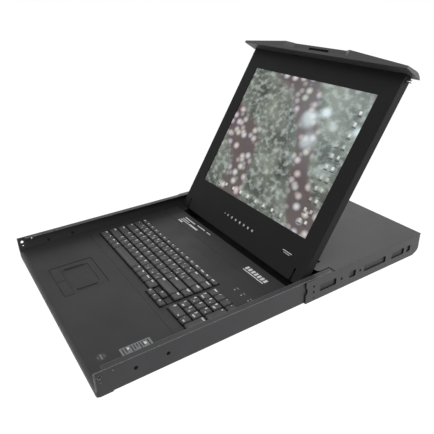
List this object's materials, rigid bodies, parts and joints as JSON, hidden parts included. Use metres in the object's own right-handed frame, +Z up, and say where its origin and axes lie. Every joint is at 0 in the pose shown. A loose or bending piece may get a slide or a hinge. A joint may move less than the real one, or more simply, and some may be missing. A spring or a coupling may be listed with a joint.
{
  "type": "rackmount lcd console drawer",
  "caption": "Rackmount console drawer: sheet-metal tray with keyboard and touchpad, hinged lid with a display, electronics box behind and slide rails.",
  "frame": {"origin": "middle of the chassis' underside, between its front edge and its back", "axes": "+X to the right seen from the keyboard, +Y from the front edge to the back, +Z up"},
  "size_m": [0.4468, 0.666, 0.3811],
  "materials": {
    "chassis_paint": "satin black powder coat",
    "deck_paint": "fine textured black paint",
    "lid_paint": "smooth matt black",
    "lid_plastic": "fine grained black",
    "screen": "lit display behind a clear sheet",
    "key_plastic": "fine grained black with pale legends",
    "pad_plastic": "smooth black",
    "button_plastic": "semi-gloss black",
    "clear_green": "clear light guide",
    "steel": "zinc plated",
    "board_green": "green solder mask",
    "supply_case": "bare sheet",
    "connector_plastic": "black",
    "glide_nylon": "black nylon"
  },
  "bodies": {
    "chassis": {"tray_pan": "chassis_paint", "left_side_wall": "chassis_paint", "right_side_wall": "chassis_paint", "wall_rivets": "steel", "palm_rest": "deck_paint", "touchpad_frame": "pad_plastic", "touchpad": "pad_plastic", "keyboard_support": "chassis_paint", "keyboard_board": "board_green", "keyboard_plate": "deck_paint", "keyboard_bezel": "deck_paint", "status_lights": "clear_green", "rear_strip": "deck_paint", "bulkhead": "chassis_paint", "top_cover": "chassis_paint", "cover_screws": "steel", "rear_panel": "chassis_paint", "main_board": "board_green", "board_standoffs": "steel", "power_supply": "supply_case", "power_inlet": "connector_plastic", "console_connector": "connector_plastic", "usb_ports": "steel", "left_hinge_bracket": "chassis_paint", "right_hinge_bracket": "chassis_paint"},
    "lid": {"lid_back_shell": "lid_paint", "lid_bezel": "lid_plastic", "lcd_panel": "screen", "lcd_carrier": "steel", "menu_board": "board_green", "menu_light": "clear_green", "inverter_board": "board_green", "lid_screws": "steel", "left_hinge_arm": "steel", "right_hinge_arm": "steel", "left_hinge_shaft": "steel", "right_hinge_shaft": "steel", "front_panel": "lid_plastic"},
    "release": {"release_button": "lid_plastic"},
    "left_latch": {"left_latch_rod": "steel"},
    "right_latch": {"right_latch_rod": "steel"},
    "power_switch": {"power_button": "button_plastic"},
    "menu_switches": {"menu_buttons": "button_plastic"},
    "left_pad_switch": {"left_touchpad_button": "pad_plastic"},
    "right_pad_switch": {"right_touchpad_button": "pad_plastic"},
    "left_slide": {"left_rail": "chassis_paint", "left_rail_glides": "glide_nylon"},
    "right_slide": {"right_rail": "chassis_paint", "right_rail_glides": "glide_nylon"},
    "function_keys_group": {"function_keys": "key_plastic"},
    "number_keys_group": {"number_keys": "key_plastic"},
    "upper_letter_keys_group": {"upper_letter_keys": "key_plastic"},
    "home_row_keys_group": {"home_row_keys": "key_plastic"},
    "enter_key_group": {"enter_key": "key_plastic"},
    "lower_letter_keys_group": {"lower_letter_keys": "key_plastic"},
    "bottom_row_keys_group": {"bottom_row_keys": "key_plastic"},
    "space_bar_group": {"space_bar": "key_plastic"},
    "navigation_keys_group": {"navigation_keys": "key_plastic"},
    "arrow_keys_group": {"arrow_keys": "key_plastic"},
    "keypad_keys_group": {"keypad_keys": "key_plastic"}
  },
  "joints": [
    {"name": "lid_hinge", "type": "hinge", "parent": "chassis", "child": "lid", "pos_m": [0, 0.048, 0.031], "axis": [1, 0, 0], "range_deg": [-5, 122.3]},
    {"name": "release_press", "type": "slide", "parent": "lid", "child": "release", "axis": [0, 0.8453, -0.5344], "range_m": [0, 0.0025], "stiffness_N_per_m": 800, "springref_m": -0.002},
    {"name": "left_latch_retract", "type": "slide", "parent": "lid", "child": "left_latch", "axis": [1, 0, 0], "range_m": [0, 0.005], "stiffness_N_per_m": 400, "springref_m": -0.002},
    {"name": "right_latch_retract", "type": "slide", "parent": "lid", "child": "right_latch", "axis": [-1, 0, 0], "range_m": [0, 0.005], "stiffness_N_per_m": 400, "springref_m": -0.002},
    {"name": "power_button_press", "type": "slide", "parent": "lid", "child": "power_switch", "axis": [0, 0.8453, -0.5344], "range_m": [0, 0.0006], "stiffness_N_per_m": 1500, "springref_m": -0.0005},
    {"name": "menu_buttons_press", "type": "slide", "parent": "lid", "child": "menu_switches", "axis": [0, 0.8453, -0.5344], "range_m": [0, 0.0006], "stiffness_N_per_m": 1500, "springref_m": -0.0005},
    {"name": "left_touchpad_button_press", "type": "slide", "parent": "chassis", "child": "left_pad_switch", "axis": [0, 0, -1], "range_m": [0, 0.0008], "stiffness_N_per_m": 1200, "springref_m": -0.0008},
    {"name": "right_touchpad_button_press", "type": "slide", "parent": "chassis", "child": "right_pad_switch", "axis": [0, 0, -1], "range_m": [0, 0.0008], "stiffness_N_per_m": 1200, "springref_m": -0.0008},
    {"name": "function_keys_press", "type": "slide", "parent": "chassis", "child": "function_keys_group", "axis": [0, 0, -1], "range_m": [0, 0.002], "stiffness_N_per_m": 800, "springref_m": -0.0015},
    {"name": "number_keys_press", "type": "slide", "parent": "chassis", "child": "number_keys_group", "axis": [0, 0, -1], "range_m": [0, 0.002], "stiffness_N_per_m": 800, "springref_m": -0.0015},
    {"name": "upper_letter_keys_press", "type": "slide", "parent": "chassis", "child": "upper_letter_keys_group", "axis": [0, 0, -1], "range_m": [0, 0.002], "stiffness_N_per_m": 800, "springref_m": -0.0015},
    {"name": "home_row_keys_press", "type": "slide", "parent": "chassis", "child": "home_row_keys_group", "axis": [0, 0, -1], "range_m": [0, 0.002], "stiffness_N_per_m": 800, "springref_m": -0.0015},
    {"name": "enter_key_press", "type": "slide", "parent": "chassis", "child": "enter_key_group", "axis": [0, 0, -1], "range_m": [0, 0.002], "stiffness_N_per_m": 800, "springref_m": -0.0015},
    {"name": "lower_letter_keys_press", "type": "slide", "parent": "chassis", "child": "lower_letter_keys_group", "axis": [0, 0, -1], "range_m": [0, 0.002], "stiffness_N_per_m": 800, "springref_m": -0.0015},
    {"name": "bottom_row_keys_press", "type": "slide", "parent": "chassis", "child": "bottom_row_keys_group", "axis": [0, 0, -1], "range_m": [0, 0.002], "stiffness_N_per_m": 800, "springref_m": -0.0015},
    {"name": "space_bar_press", "type": "slide", "parent": "chassis", "child": "space_bar_group", "axis": [0, 0, -1], "range_m": [0, 0.002], "stiffness_N_per_m": 800, "springref_m": -0.0015},
    {"name": "navigation_keys_press", "type": "slide", "parent": "chassis", "child": "navigation_keys_group", "axis": [0, 0, -1], "range_m": [0, 0.002], "stiffness_N_per_m": 800, "springref_m": -0.0015},
    {"name": "arrow_keys_press", "type": "slide", "parent": "chassis", "child": "arrow_keys_group", "axis": [0, 0, -1], "range_m": [0, 0.002], "stiffness_N_per_m": 800, "springref_m": -0.0015},
    {"name": "keypad_keys_press", "type": "slide", "parent": "chassis", "child": "keypad_keys_group", "axis": [0, 0, -1], "range_m": [0, 0.002], "stiffness_N_per_m": 800, "springref_m": -0.0015},
    {"name": "left_rail_slide", "type": "slide", "parent": "chassis", "child": "left_slide", "axis": [0, -1, 0], "range_m": [0, 0.34]},
    {"name": "right_rail_slide", "type": "slide", "parent": "chassis", "child": "right_slide", "axis": [0, -1, 0], "range_m": [0, 0.34]}
  ],
  "couplings": [
    {"joint": "left_latch_retract", "follows": "release_press", "ratio": 2},
    {"joint": "right_latch_retract", "follows": "release_press", "ratio": 2},
    {"joint": "right_rail_slide", "follows": "left_rail_slide", "ratio": 1}
  ]
}
